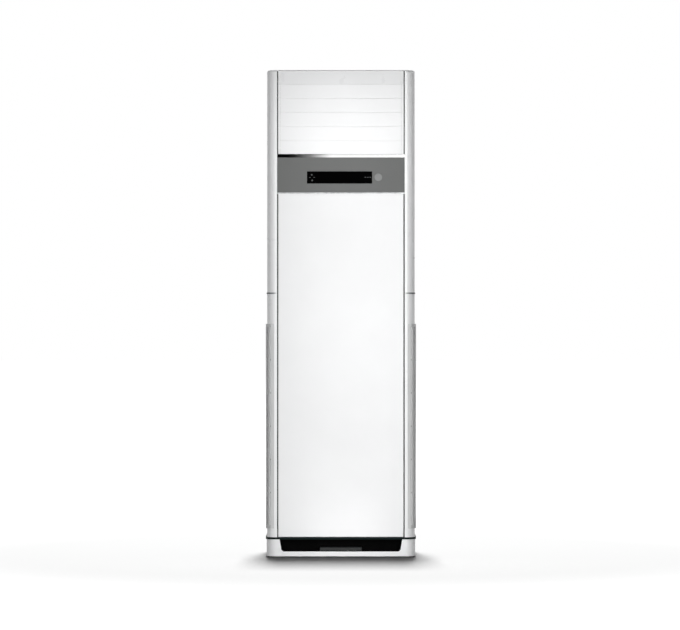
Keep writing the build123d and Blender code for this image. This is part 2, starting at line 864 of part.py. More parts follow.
def louver_slat(index):
    """One slat: a face, a lip that laps behind the slat above, two ears with pivot pins and a crank pin."""
    z = louver_z(index)
    top = z + (louver_pitch - louver_seam) / 2
    bottom = max(z - (louver_pitch - louver_seam) / 2, louver_low)
    slat = block(-louver_half, louver_half, front, front + louver_wall, bottom, top)
    long_edges = slat.edges().filter_by(Axis.X).group_by(Axis.Y)[0]
    slat = fillet(long_edges, louver_wall / 3)
    step = front + louver_wall
    lip_front = step + seat_gap
    slat += block(-louver_half, louver_half, step, lip_front + lip_thickness, top - louver_lip, top)
    slat += block(-louver_half, louver_half, lip_front, lip_front + lip_thickness, top - root,
                  top + louver_lip)
    crank_y, crank_z = crank_place()
    foot = Pos(step - pivot_y, 0) * Rectangle(root, 2 * ear_foot)
    ear = make_hull((foot + Circle(ear_radius)).edges())
    crank_end = Pos(crank_y, crank_z) * Circle(crank_radius + crank_wall)
    arm = make_hull((Circle(ear_radius) + crank_end).edges())
    ear_plate = slab_x(Pos(pivot_y, z) * ear, louver_half - ear_thickness, louver_half)
    arm_plate = slab_x(Pos(pivot_y, z) * arm, louver_half - ear_thickness, louver_half)
    slat += [ear_plate, arm_plate, mirror(ear_plate, about=Plane.YZ)]
    pin = rod_x(pivot_y, z, pin_radius, louver_half - root, panel_half - seat_gap)
    crank_tip = link_start + link_thickness + root
    crank = rod_x(pivot_y + crank_y, z + crank_z, crank_radius, louver_half - root, crank_tip)
    return slat + [pin, mirror(pin, about=Plane.YZ), crank]


def louver_link():
    """Upright bar on the crank pins of all slats."""
    crank_y, crank_z = crank_place()
    y = pivot_y + crank_y
    low = louver_z(louver_count - 1) + crank_z - link_end
    high = louver_z(0) + crank_z + link_end
    outer = link_start + link_thickness
    bar = block(link_start, outer, y - link_width / 2, y + link_width / 2, low, high)
    holes = []
    for i in range(louver_count):
        holes.append(rod_x(y, louver_z(i) + crank_z, crank_radius + link_gap, link_start, outer))
    return bar - holes


def louver_motor():
    """Small geared motor behind the right column's inner edge, its shaft in line with the middle slat."""
    z = louver_z(louver_count // 2)
    start = column_inner + side_wall
    motor = rod_x(pivot_y, z, motor_radius, start, start + louver_motor_length)
    return motor + rod_x(pivot_y, z, pin_radius, panel_half + seat_gap, start + root)


def upper_side_right():
    """The right upper column, with the hole for the slat motor's shaft."""
    z = louver_z(louver_count // 2)
    hole = rod_x(pivot_y, z, motor_shaft_hole, column_inner, column_inner + side_wall)
    return upper_side() - hole


# ---- Outlet frame and vanes ---------------------------------------------------------------------

def outlet_frame():
    """Air duct of the outlet: side walls with white front strips, floor, ceiling and ears to the columns."""
    body_front = front + fascia_back
    ceiling_top = frame_ceiling + frame_floor
    wall_start = panel_half - frame_wall
    side = block(wall_start, panel_half, body_front, frame_back, frame_bottom, ceiling_top)
    side += block(wall_start, panel_half, front, body_front, louver_low, louver_top)
    side += block(flange_half, panel_half, front, front + flange_thickness, louver_low, louver_top)
    side += block(panel_half, column_inner, ear_front, ear_back, frame_bottom, ceiling_top)
    frame = block(-panel_half, panel_half, body_front, frame_back, frame_bottom, frame_bottom + frame_floor)
    frame += block(-panel_half, panel_half, body_front, frame_back, frame_ceiling, ceiling_top)
    frame += [side, mirror(side, about=Plane.YZ)]
    bores = []
    for i in range(louver_count):
        bores.append(rod_x(pivot_y, louver_z(i), pin_radius + pivot_gap, -panel_half, panel_half))
    for x in vane_places():
        bores.append(rod_z(x, vane_pivot, pin_radius + pivot_gap, frame_bottom, ceiling_top))
    return frame - bores


def vane_places():
    """X places of the upright vanes."""
    first = -(vane_count - 1) * vane_pitch / 2
    return [first + i * vane_pitch for i in range(vane_count)]


def vane(x):
    """One upright vane with its pivot pins and crank pin."""
    half = vane_thickness / 2
    plate = block(x - half, x + half, vane_front, vane_back, vane_bottom, vane_top)
    uprights = plate.edges().filter_by(Axis.Z)
    plate = fillet(uprights, half - pivot_gap)
    low_root = vane_bottom + vane_pin_root
    high_root = vane_top - vane_pin_root
    low_pin = rod_z(x, vane_pivot, pin_radius, frame_bottom + seat_gap, low_root)
    high_pin = rod_z(x, vane_pivot, pin_radius, high_root, frame_ceiling + frame_floor - seat_gap)
    crank = rod_z(x, vane_crank, crank_radius, vane_link_bottom - root, low_root)
    return plate + [low_pin, high_pin, crank]


def vane_link():
    """Bar across the case on the crank pins of all vanes."""
    places = vane_places()
    half = vane_link_width / 2
    top = vane_link_bottom + vane_link_height
    bar = block(places[0] - link_end, places[-1] + link_end, vane_crank - half, vane_crank + half,
                vane_link_bottom, top)
    return bar - [rod_z(x, vane_crank, crank_radius + link_gap, vane_link_bottom, top) for x in places]


def vane_motor():
    """Small geared motor under the outlet floor, in line with the third vane."""
    x = vane_places()[vane_count // 2 - 1]
    return rod_z(x, vane_pivot, motor_radius, frame_bottom - vane_motor_length, frame_bottom)


# ---- Control fascia -----------------------------------------------------------------------------

def chrome_trim():
    """Bright strip between the slats and the control fascia."""
    half = column_inner - seat_gap
    bar = block(-half, half, front - chrome_proud, front + fascia_back, fascia_top, chrome_top)
    edges = bar.edges().filter_by(Axis.X).group_by(Axis.Y)[0]
    return fillet(edges, chrome_round)


def control_fascia():
    """Grey panel with the display opening and the button hole, and returns along its top and bottom."""
    half = column_inner - seat_gap
    rear = front + fascia_thickness
    face = block(-half, half, front, rear, fascia_bottom, fascia_top)
    for low in (fascia_bottom, fascia_top - sheet):
        face += block(-half, half, front + root, front + fascia_return, low, low + sheet)
    width = window_half_width
    height = window_half_height
    face -= block(window_x - width, window_x + width, front, rear, window_z - height, window_z + height)
    return face - rod_y(button_x, button_z, button_radius + seat_gap, front, rear)


def display_window():
    """Black window: a raised pane with a rim behind the fascia."""
    width = window_half_width - window_fit
    height = window_half_height - window_fit
    rim_start = front + fascia_thickness
    pane = block(window_x - width, window_x + width, front - window_proud, rim_start + root,
                 window_z - height, window_z + height)
    front_edges = pane.faces().sort_by(Axis.Y)[0].edges()
    pane = fillet(front_edges, window_proud / 2)
    width += window_rim
    height = board_half_height
    rim = block(window_x - width, window_x + width, rim_start, rim_start + window_rim_thickness,
                window_z - height, window_z + height)
    return pane + rim


def display_board():
    """Circuit board behind the window, with the switch that the button presses."""
    start = front + fascia_thickness + window_rim_thickness
    left = window_x - window_half_width - window_rim
    board = block(left, board_right, start, start + board_thickness, window_z - board_half_height,
                  window_z + board_half_height)
    switch_front = front - button_proud + button_depth + button_travel + seat_gap
    return board + rod_y(button_x, button_z, switch_radius, switch_front, start)


def power_button():
    """Round push button with a rim that keeps it behind the fascia."""
    start = front - button_proud
    cap = rod_y(button_x, button_z, button_radius, start, start + button_depth)
    cap = fillet(cap.edges().sort_by(Axis.Y)[0], button_proud)
    rim_start = front + fascia_thickness + seat_gap
    rim_end = rim_start + button_rim_thickness
    return cap + rod_y(button_x, button_z, button_radius + button_rim, rim_start, rim_end)


# ---- Front panel --------------------------------------------------------------------------------

def front_panel():
    """Long lower panel: a shallow tray with round edges and two clips that hang on the rail's pins."""
    low = pan_top + panel_bottom_gap
    rear = front + panel_depth
    panel = block(-panel_half, panel_half, front, rear, low, panel_top)
    face_edges = panel.faces().sort_by(Axis.Y)[0].edges()
    panel = fillet(face_edges, panel_round)
    inner = panel_half - panel_wall
    panel -= block(-inner, inner, front + panel_wall, rear, low + panel_wall, panel_top - panel_wall)
    panel -= block(-inner, inner, front + panel_top_return, rear, panel_top - panel_wall, panel_top)
    for x in (-clip_x, clip_x):
        start = x - clip_width / 2
        end = x + clip_width / 2
        panel += block(start, end, front + panel_wall, hinge_y, hinge_z - clip_radius, hinge_z + clip_radius)
        panel += rod_x(hinge_y, hinge_z, clip_radius, start, end)
        panel -= rod_x(hinge_y, hinge_z, hinge_radius + pivot_gap, start, end)
    return panel


def panel_rail():
    """Steel rail between the columns, with cheeks and pins for the front panel's clips."""
    rear = rail_front + rail_sheet
    half = column_inner
    rail = block(-half, half, rail_front, rear, rail_bottom, rail_top)
    rail += block(-half, half, rail_front, rail_front + rail_flange, rail_top - rail_sheet, rail_top)
    cheek_start = clip_width / 2 + cheek_gap
    cheek_end = cheek_start + cheek_thickness
    for x in (-clip_x, clip_x):
        rail += rod_x(hinge_y, hinge_z, hinge_radius, x - cheek_end, x + cheek_end)
        for start in (x - cheek_end, x + cheek_start):
            rail += block(start, start + cheek_thickness, hinge_y - clip_radius, rear, hinge_z - clip_radius,
                          hinge_z + clip_radius - cheek_step)
    return rail


# ---- Fan ----------------------------------------------------------------------------------------

def fan_deck():
    """Sheet between the fan room and the coil room, with holes for the duct, the pipes and the drain."""
    half = column_half - side_wall - seat_gap
    rear = side_back - side_wall - seat_gap
    sheet_face = Pos(0, (deck_front + rear) / 2) * Rectangle(2 * half, rear - deck_front)
    sheet_face = fillet(sheet_face.vertices().sort_by(Axis.Y)[:2], deck_corner)
    sheet_face = fillet(sheet_face.vertices().sort_by(Axis.Y)[-2:], back_radius)
    deck = slab_z(sheet_face, deck_bottom, deck_top)
    tab = column_half - back_flange - seat_gap
    deck += block(-tab, tab, rear - root, side_back, deck_bottom, deck_top)
    duct_front = scroll_front + scroll_wall
    duct_back = scroll_back - scroll_wall
    deck -= block(tongue_x, duct_reach, duct_front, duct_back, deck_bottom, deck_top)
    gas_y = coil_point(tube_count - 1, tube_rows[1])[0]
    liquid_y = coil_point(0, tube_rows[0])[0]
    deck -= rod_z(gas_x, gas_y, gas_radius + pipe_hole_gap, deck_bottom, deck_top)
    deck -= rod_z(liquid_x, liquid_y, liquid_radius + pipe_hole_gap, deck_bottom, deck_top)
    return deck - rod_z(drain_x, drain_y, drain_radius + seat_gap, deck_bottom, deck_top)


def scroll_outline(grow):
    """Front view of the scroll: a spiral from the tongue round to the right, then a duct up to the deck."""
    left = tongue_x - grow
    start = math.degrees(math.acos(left / (tongue_radius + grow)))
    points = []
    for i in range(spiral_steps + 1):
        angle = start + i * (360 - start) / spiral_steps
        growth = (angle - tongue_angle) / (360 - tongue_angle)
        radius = tongue_radius + grow + growth * (duct_reach - tongue_radius)
        turn = math.radians(angle)
        points.append((radius * math.cos(turn), fan_z + radius * math.sin(turn)))
    right = points[-1][0]
    duct = Polyline(points[-1], (right, deck_bottom), (points[0][0], deck_bottom), points[0])
    return make_face(Spline(*points) + duct)


def fan_scroll():
    """Sheet steel scroll round the fan wheel, open at its inlet and at the top of its duct."""
    scroll = slab_y(scroll_outline(scroll_wall), scroll_front, scroll_back)
    scroll -= slab_y(scroll_outline(0), scroll_front + scroll_wall, scroll_back - scroll_wall)
    scroll -= rod_y(0, fan_z, inlet_radius, scroll_front, scroll_front + scroll_wall)
    return scroll - rod_y(0, fan_z, motor_hole, scroll_back - scroll_wall, scroll_back)


def bell_mouth():
    """Flared inlet ring with a flange against the scroll."""
    throat_end = scroll_front + scroll_wall
    centre = (bell_throat + bell_round, throat_end)
    ring = Pos(*centre) * (Circle(bell_round) - Circle(bell_round - bell_wall))
    quarter = Pos(centre[0] - bell_round / 2, throat_end - bell_round / 2) * Rectangle(bell_round, bell_round)
    flange_start = bell_throat + bell_wall
    flange_width = bell_flange - flange_start
    flange_middle = Pos(flange_start + flange_width / 2, scroll_front - bell_wall / 2)
    section = (ring & quarter) + flange_middle * Rectangle(flange_width, bell_wall)
    return revolve(Pos(0, 0, fan_z) * section, Axis((0, 0, fan_z), (0, 1, 0)))


def fan_wheel():
    """Forward-curved wheel: curved blades between a back plate and a front ring, with a hub."""
    middle = (wheel_radius + wheel_inner) / 2
    strip = Circle(blade_round) - Circle(blade_round - blade_thickness)
    strip = Pos(middle, -blade_round) * strip
    blade = strip & (Pos(middle, 0) * Rectangle(blade_reach - 2 * blade_margin, blade_round))
    blades = []
    for i in range(blade_count):
        turned = Pos(0, fan_z) * Rot(0, 0, i * 360 / blade_count) * blade
        blades.append(slab_y(turned, wheel_front + wheel_plate / 2, wheel_back - wheel_plate / 2))
    wheel = rod_y(0, fan_z, wheel_radius, wheel_back - wheel_plate, wheel_back)
    wheel += rod_y(0, fan_z, hub_radius, hub_front, hub_back)
    wheel -= rod_y(0, fan_z, shaft_radius, hub_front, hub_back)
    ring = rod_y(0, fan_z, wheel_radius, wheel_front, wheel_front + wheel_plate)
    ring -= rod_y(0, fan_z, wheel_inner, wheel_front, wheel_front + wheel_plate)
    return wheel + [ring] + blades


def fan_shaft():
    """Motor shaft through the hub."""
    return rod_y(0, fan_z, shaft_radius, shaft_front, shaft_back)


def fan_motor():
    """Round fan motor with a boss in front, bored for the shaft."""
    motor = rod_y(0, fan_z, fan_motor_radius, fan_motor_front, fan_motor_back)
    rims = motor.edges().filter_by(GeomType.CIRCLE)
    motor = fillet(rims, boss_length)
    boss_front = fan_motor_front - boss_length
    motor += rod_y(0, fan_z, boss_radius, boss_front, fan_motor_front + root)
    return motor - rod_y(0, fan_z, shaft_radius + pivot_gap, boss_front, shaft_back + root)


def motor_bracket():
    """Plate behind the motor on four legs from the back panel."""
    plate = block(-bracket_half_width, bracket_half_width, fan_motor_back, fan_motor_back + bracket_sheet,
                  fan_z - bracket_half_height, fan_z + bracket_half_height)
    inset = 2 * bracket_leg_radius
    legs = []
    for x in (-bracket_half_width + inset, bracket_half_width - inset):
        for z in (fan_z - bracket_half_height + inset, fan_z + bracket_half_height - inset):
            legs.append(rod_y(x, z, bracket_leg_radius, fan_motor_back, side_back))
    return plate + legs


# ---- Evaporator and drain -----------------------------------------------------------------------

def coil_point(pass_index, row):
    """Middle of a tube in Y and Z: its pass counted up the coil, its row across the coil."""
    turn = math.radians(coil_lean)
    along = (pass_index - (tube_count - 1) / 2) * tube_pitch
    y = (coil_foot[0] + coil_head[0]) / 2 + along * math.sin(turn) + row * math.cos(turn)
    z = (coil_foot[1] + coil_head[1]) / 2 + along * math.cos(turn) - row * math.sin(turn)
    return (y, z)


def coil_outline():
    """Side view of the coil: a leaning rectangle, drawn in Y and Z."""
    middle = Pos((coil_foot[0] + coil_head[0]) / 2, (coil_foot[1] + coil_head[1]) / 2)
    return middle * Rot(0, 0, -coil_lean) * Rectangle(coil_thickness, coil_length)


def tube_holes():
    """Holes for every tube, drawn in Y and Z."""
    holes = []
    for row in tube_rows:
        for i in range(tube_count):
            holes.append(Pos(*coil_point(i, row)) * Circle(tube_radius + tube_hole_gap))
    return Sketch() + holes


def evaporator_fins():
    """Thin upright fins along the coil."""
    fin = slab_x(coil_outline() - tube_holes(), 0, fin_thickness)
    pitch = (2 * coil_half - fin_thickness) / (fin_count - 1)
    return Part() + [Pos(-coil_half + i * pitch, 0, 0) * fin for i in range(fin_count)]


def evaporator_tubes():
    """Two copper serpentines, one for each row, joined by round bends at the ends."""
    tubes = []
    for row in tube_rows:
        wires = []
        side = 1
        for i in range(tube_count):
            y, z = coil_point(i, row)
            start = tube_stub if i == 0 else tube_end
            end = tube_stub if i == tube_count - 1 else tube_end
            wires.append(Line((side * start, y, z), (-side * end, y, z)))
            if i < tube_count - 1:
                next_y, next_z = coil_point(i + 1, row)
                reach = -side * (tube_end + tube_pitch / 2)
                middle = (reach, (y + next_y) / 2, (z + next_z) / 2)
                bend_end = (-side * tube_end, next_y, next_z)
                wires.append(ThreePointArc((-side * tube_end, y, z), middle, bend_end))
            side = -side
        path = Wire(wires)
        first_y, first_z = coil_point(0, row)
        section = Plane(origin=(tube_stub, first_y, first_z), z_dir=(-1, 0, 0)) * Circle(tube_radius)
        tubes.append(sweep(section, path=path))
    return Part() + tubes


def evaporator_brackets():
    """End plates of the coil, with a foot in the drain pan and an arm to the back panel."""
    pan_floor = deck_top + sheet
    leg_height = coil_foot[1] - pan_floor
    leg = Pos(coil_foot[0], pan_floor + leg_height / 2) * Rectangle(2 * plate_foot_half, leg_height)
    arm_middle = Pos((plate_arm_front + side_back) / 2, plate_arm_top - plate_arm_height / 2)
    arm = arm_middle * Rectangle(side_back - plate_arm_front, plate_arm_height)
    section = coil_outline() + leg + arm - tube_holes()
    return both_sides(slab_x(section, coil_half, coil_half + end_plate))


def drain_pan():
    """Trough under the foot of the coil."""
    top = deck_top + drain_pan_height
    inner = pan_half - sheet
    pan = block(-pan_half, pan_half, pan_front, pan_back, deck_top, top)
    pan -= block(-inner, inner, pan_front + sheet, pan_back - sheet, deck_top + sheet, top)
    return pan - rod_z(drain_x, drain_y, drain_bore, deck_top, deck_top + sheet)


def drain_pipe():
    """Pipe from under the drain pan down to a stub that faces the pipe exit."""
    run = FilletPolyline((drain_x, drain_y, deck_top), (drain_x, drain_y, exit_z),
                         (drain_x, stub_end, exit_z), radius=drain_bend)
    start = Plane(origin=(drain_x, drain_y, deck_top), z_dir=(0, 0, -1))
    return sweep(start * (Circle(drain_radius) - Circle(drain_bore)), path=run)


# ---- Pipes and electrical parts -----------------------------------------------------------------

def refrigerant_pipe(start_y, start_z, x, exit_z, radius, bend):
    """Pipe from the open end of a coil tube down to a stub that faces the pipe exit."""
    run = FilletPolyline((tube_stub, start_y, start_z), (x, start_y, start_z), (x, start_y, exit_z),
                         (x, stub_end, exit_z), radius=bend)
    section = Plane(origin=(tube_stub, start_y, start_z), z_dir=(1, 0, 0)) * Circle(radius)
    return sweep(section, path=run)


def gas_pipe():
    """Thick pipe from the top of the rear row."""
    y, z = coil_point(tube_count - 1, tube_rows[1])
    return refrigerant_pipe(y, z, gas_x, gas_exit_z, gas_radius, gas_bend)


def liquid_pipe():
    """Thin pipe from the bottom of the front row."""
    y, z = coil_point(0, tube_rows[0])
    return refrigerant_pipe(y, z, liquid_x, liquid_exit_z, liquid_radius, liquid_bend)


def electrical_box():
    """Open-fronted sheet box on the back of the rail, with studs for the control board."""
    inner = box_half - box_sheet
    inside = box_back - box_sheet
    box = block(-box_half, box_half, box_front, box_back, box_bottom, box_top)
    box -= block(-inner, inner, box_front, inside, box_bottom + box_sheet, box_top - box_sheet)
    stud_x = board_half_width - standoff_inset
    studs = []
    for x in (-stud_x, stud_x):
        for z in (board_bottom + standoff_inset, board_top - standoff_inset):
            studs.append(rod_y(x, z, standoff_radius, inside - standoff_height, inside))
    return box + studs


def control_board():
    """Main circuit board: capacitors and relays above, a heat sink in the middle, plug rows below."""
    rear = box_back - box_sheet - standoff_height
    face = rear - board_thickness
    board = block(-board_half_width, board_half_width, face, rear, board_bottom, board_top)
    parts = []
    for i in range(capacitor_count):
        x = -board_half_width + capacitor_left + i * capacitor_pitch
        z = board_top - capacitor_pitch
        parts.append(rod_y(x, z, capacitor_radius, face - capacitor_height, face))
    relay_top = board_top - relay_drop
    for i in range(relay_count):
        x = relay_left + i * relay_pitch
        parts.append(block(x, x + relay_width, face - relay_depth, face, relay_top - relay_height, relay_top))
    sink_low = board_bottom + heatsink_lift
    parts.append(block(-heatsink_half, heatsink_half, face - heatsink_depth, face, sink_low,
                       sink_low + heatsink_height))
    row_low = board_bottom + plug_row_lift
    row = block(plug_row_inner, plug_row_outer, face - plug_row_height, face, row_low,
                row_low + plug_row_height)
    return board + parts + [row, mirror(row, about=Plane.YZ)]


def terminal_block():
    """Screw terminals for the supply and the outdoor unit."""
    left = -board_half_width
    low = box_bottom + box_sheet
    rear = box_back - box_sheet
    top = low + block_height
    face = rear - block_depth
    body = block(left, left + block_width, face, rear, low, top)
    way = block_width / block_ways
    for i in range(block_ways):
        middle = left + (i + 0.5) * way
        slot_half = way / 3
        body -= block(middle - slot_half, middle + slot_half, face, face + block_depth / 2,
                      low + block_sill, top)
    return body


def cable_gland():
    """Gland in the back panel for the supply cable: a threaded body and a nut on each side of the sheet."""
    body = rod_y(gland_x, gland_z, gland_body - seat_gap / 3, side_back - gland_inside, back + gland_outside)
    nut = Pos(gland_x, gland_z) * RegularPolygon(gland_nut, 6)
    body += slab_y(nut, back, back + gland_outside)
    body += slab_y(nut, side_back - gland_inside / 2, side_back)
    return body - rod_y(gland_x, gland_z, gland_bore, side_back - gland_inside, back + gland_outside)


# ---- All pieces ---------------------------------------------------------------------------------

def all_pieces():
    """Every piece of the air conditioner under its own name."""
    right_lower = lower_side()
    right_grille = inlet_grille()
    right_filter = air_filter()
    pieces = {
        "base_plinth": base_plinth(),
        "toe_recess_liner": toe_recess_liner(),
        "toe_ledge": toe_ledge(),
        "base_pan": base_pan(),
        "levelling_feet": levelling_feet(),
        "right_lower_side": right_lower,
        "left_lower_side": mirror(right_lower, about=Plane.YZ),
        "right_upper_side": upper_side_right(),
        "left_upper_side": mirror(upper_side(), about=Plane.YZ),
        "seam_strips": seam_strips(),
        "top_cover": top_cover(),
        "top_fascia": top_fascia(),
        "gap_seals": gap_seals(),
        "back_panel": back_panel(),
        "case_screws": case_screws(),
        "right_inlet_grille": right_grille,
        "left_inlet_grille": mirror(right_grille, about=Plane.YZ),
        "right_filter": right_filter,
        "left_filter": mirror(right_filter, about=Plane.YZ),
        "outlet_frame": outlet_frame(),
        "louver_link": louver_link(),
        "louver_motor": louver_motor(),
        "vane_link": vane_link(),
        "vane_motor": vane_motor(),
        "chrome_trim": chrome_trim(),
        "control_fascia": control_fascia(),
        "display_window": display_window(),
        "display_board": display_board(),
        "power_button": power_button(),
        "front_panel": front_panel(),
        "panel_rail": panel_rail(),
        "fan_deck": fan_deck(),
        "fan_scroll": fan_scroll(),
        "bell_mouth": bell_mouth(),
        "fan_wheel": fan_wheel(),
        "fan_shaft": fan_shaft(),
        "fan_motor": fan_motor(),
        "motor_bracket": motor_bracket(),
        "evaporator_fins": evaporator_fins(),
        "evaporator_tubes": evaporator_tubes(),
        "evaporator_brackets": evaporator_brackets(),
        "drain_pan": drain_pan(),
        "drain_pipe": drain_pipe(),
        "gas_pipe": gas_pipe(),
        "liquid_pipe": liquid_pipe(),
        "electrical_box": electrical_box(),
        "control_board": control_board(),
        "terminal_block": terminal_block(),
        "cable_gland": cable_gland(),
    }
    for i in range(louver_count):
        pieces[f"louver_{i + 1}"] = louver_slat(i)
    for i, x in enumerate(vane_places()):
        pieces[f"vane_{i + 1}"] = vane(x)
    return pieces


os.makedirs("parts", exist_ok=True)
for name, piece in all_pieces().items():
    export_step(piece, f"parts/{name}.step")
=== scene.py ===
import json
import math

import bmesh
import bpy
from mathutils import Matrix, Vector


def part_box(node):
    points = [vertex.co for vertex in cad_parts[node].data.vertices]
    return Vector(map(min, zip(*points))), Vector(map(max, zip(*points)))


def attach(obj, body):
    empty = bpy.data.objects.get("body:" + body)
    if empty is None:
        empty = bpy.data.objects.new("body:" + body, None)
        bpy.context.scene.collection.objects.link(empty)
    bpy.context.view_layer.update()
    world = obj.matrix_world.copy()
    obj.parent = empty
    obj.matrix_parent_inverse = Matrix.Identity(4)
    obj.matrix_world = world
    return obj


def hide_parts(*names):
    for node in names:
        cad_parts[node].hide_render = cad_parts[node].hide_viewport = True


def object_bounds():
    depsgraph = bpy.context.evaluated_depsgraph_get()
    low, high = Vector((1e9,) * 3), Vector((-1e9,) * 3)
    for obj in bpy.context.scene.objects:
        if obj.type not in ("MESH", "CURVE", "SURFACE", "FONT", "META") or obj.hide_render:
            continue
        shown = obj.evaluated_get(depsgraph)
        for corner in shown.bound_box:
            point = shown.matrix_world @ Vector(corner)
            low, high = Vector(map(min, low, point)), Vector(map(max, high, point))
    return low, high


# The looks of a floor standing air conditioner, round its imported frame. Lengths are in metres, and where
# a comment says so in millimetres.

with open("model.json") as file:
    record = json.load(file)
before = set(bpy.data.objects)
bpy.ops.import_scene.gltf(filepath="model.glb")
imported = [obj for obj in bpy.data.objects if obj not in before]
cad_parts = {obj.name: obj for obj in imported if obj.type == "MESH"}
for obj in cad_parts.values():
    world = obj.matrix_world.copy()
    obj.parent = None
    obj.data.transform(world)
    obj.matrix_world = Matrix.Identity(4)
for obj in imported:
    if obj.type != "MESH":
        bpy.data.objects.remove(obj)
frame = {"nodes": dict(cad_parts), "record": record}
cad_low, cad_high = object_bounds()
nodes = frame["nodes"]

# ---- Values -------------------------------------------------------------------------------------

MM = 0.001

# The photograph's view: a long lens, level, straight from the front.
LENS = 200.0
SENSOR = 36.0
CAMERA_PLACE = (-0.0034, -14.326, 0.907)

# Studio light. The world lights from all sides. The front gets a wide lamp, three small ones close to
# its middle, so that the round corners fall off as in the photograph, and two cards that only mirror:
# one in the left column, one in the right column and the right half of the panel. Two lamps behind
# light the sides and the back. A lamp high and far behind the case lights the floor alone, and throws
# the case's soft shadow forwards.
WORLD_LIGHT = 0.16
WORLD_SEEN = 1.0
WIDE_PLACE = (-0.25, -4.6, 0.8)
WIDE_SIZE = (1.4, 1.6)
WIDE_POWER = 50.0
NEAR_X = 0.02
NEAR_Y = -0.8
NEAR_WIDTH = 0.3
NEAR_LAMPS = ((0.08, 0.16, 1.85), (0.85, 0.6, 1.6), (1.57, 0.3, 1.9))   # middle, height and power
CARD_Y = -4.0
CARDS = ((-1.62, 1.0, 1.35, 1.9, 5.0), (1.24, 1.25, 1.7, 2.4, 8.6))     # X, Z, width, height and glow
REAR_PLACE = (2.2, 2.2, 3.2)
REAR_SIZE = (1.0, 1.8)
REAR_POWER = 60.0
TOP_PLACE = (0.0, 4.3, 20.0)
TOP_AIM = (0.0, -0.3, 0.0)
TOP_SIZE = (1.6, 6.1)
TOP_POWER = 13200.0

# Floor: pale where it is seen, darker in what it throws back at the object. It turns to plain white
# between two distances from the object.
FLOOR_HALF = 60.0
FLOOR_SEEN = 0.3
FLOOR_BOUNCE = 0.05
FLOOR_GLOW_START = 1.2
FLOOR_GLOW_END = 4.0
FLOOR_GLOW = 1.0

# Rounded edges of the side columns.
EDGE_ANGLE = 35.0
EDGE_WIDTH = 0.4 * MM
EDGE_SEGMENTS = 2

# Finishes. Scales are in features a metre. Most of a noise texture's values lie in its middle range.
NOISE_MIDDLE = (0.3, 0.7)
CLOUD_SCALE = 6.0
GLOSS_SCALE = 30.0
GLOSS_CHANGE = 0.12
PEEL_HEIGHT = 0.4 * MM
METAL_GLOSS_CHANGE = 0.25
METAL_RELIEF = 0.2 * MM
SPANGLE_SCALE = 110.0
SPANGLE_TONES = [(0.0, (0.42, 0.43, 0.44)), (1.0, (0.62, 0.63, 0.64))]
# Painted reflection on the chrome strip: its tone at shares of its length from the left end, black at the
# left and bright at the right.
CHROME_PAINTED_REFLECTION = [(0.09, 0.002), (0.14, 0.018), (0.18, 0.07), (0.26, 0.22), (0.335, 0.53), (0.41, 0.88),
               (0.44, 0.95)]
BOARD_CELL_SCALE = 90.0
NET_RIB_SCALE = 140.0
NET_TONES = [(0.55, (0.01, 0.011, 0.012)), (0.8, (0.09, 0.095, 0.1))]
FOOT_PAD_TOP = 4.0 * MM
FOOT_TONES = [(0.0, (0.012, 0.012, 0.013)), (1.0, (0.5, 0.5, 0.48))]

# Painted shade on the side seam: dark on the column's flank, it fades over this width to lighter towards the
# front panel.
SEAM_SHADE_FADE = 0.041
SEAM_SHADE_TONES = [(0.1, (0.8, 0.81, 0.81)), (0.3, (0.36, 0.38, 0.38)), (0.5, (0.22, 0.24, 0.24)),
              (0.75, (0.15, 0.17, 0.17))]

# Small unlit indicators on the display's pane, in millimetres: places across and up from its middle, and
# half sizes. Each is a low dome of rings, given as shares of its size.
INDICATOR_DOTS = ((-104.0, 9.8), (-102.5, -11.0))
INDICATOR_DOT_HALF = (2.9, 2.9)
INDICATOR_BARS = ((-111.0, 0.0), (-95.0, 0.0), (96.0, 0.5), (106.0, 0.5), (115.0, 0.5))
INDICATOR_BAR_HALF = (3.4, 1.1)
INDICATOR_LIFT = 0.15
INDICATOR_RINGS = (1.0, 0.85, 0.6, 0.3)
INDICATOR_SIDES = 24

# Screws in the back, in millimetres: domed heads with a cross recess. Two vertices nearer than the reach
# belong to one screw.
SCREW_HEAD_RINGS = ((0.0, 4.5), (0.9, 4.5), (1.4, 4.1), (1.7, 3.2), (1.8, 2.0))     # height and radius
SCREW_SHANK_RADIUS = 2.0
SCREW_SHANK_LENGTH = 8.0
SCREW_SIDES = 32
SCREW_REACH = 12.0
RECESS_REACH = 2.4
RECESS_HALF = 0.45
RECESS_DEPTH = 1.2


# ---- Node helpers -------------------------------------------------------------------------------

def node_material(name):
    """A new node material, its tree, its shader and the object coordinates."""
    made = bpy.data.materials.new(name)
    made.use_nodes = True
    tree = made.node_tree
    shader = tree.nodes["Principled BSDF"]
    coords = tree.nodes.new("ShaderNodeTexCoord").outputs["Object"]
    return made, tree, shader, coords


def noise(tree, coords, scale, detail=3.0, stretch=(1, 1, 1)):
    """A noise texture's value over the coordinates, stretched along an axis where that is asked."""
    mapping = tree.nodes.new("ShaderNodeMapping")
    mapping.inputs["Scale"].default_value = stretch
    tree.links.new(coords, mapping.inputs["Vector"])
    texture = tree.nodes.new("ShaderNodeTexNoise")
    texture.inputs["Scale"].default_value = scale
    texture.inputs["Detail"].default_value = detail
    tree.links.new(mapping.outputs["Vector"], texture.inputs["Vector"])
    return texture.outputs["Fac"]


def one_axis(tree, coords, axis):
    """One of the coordinates."""
    node = tree.nodes.new("ShaderNodeSeparateXYZ")
    tree.links.new(coords, node.inputs["Vector"])
    return node.outputs[axis]


def calculate(tree, operation, *values):
    """A math node's result; each value is a socket or a number."""
    node = tree.nodes.new("ShaderNodeMath")
    node.operation = operation
    for place, value in enumerate(values):
        if isinstance(value, float):
            node.inputs[place].default_value = value
        else:
            tree.links.new(value, node.inputs[place])
    return node.outputs["Value"]


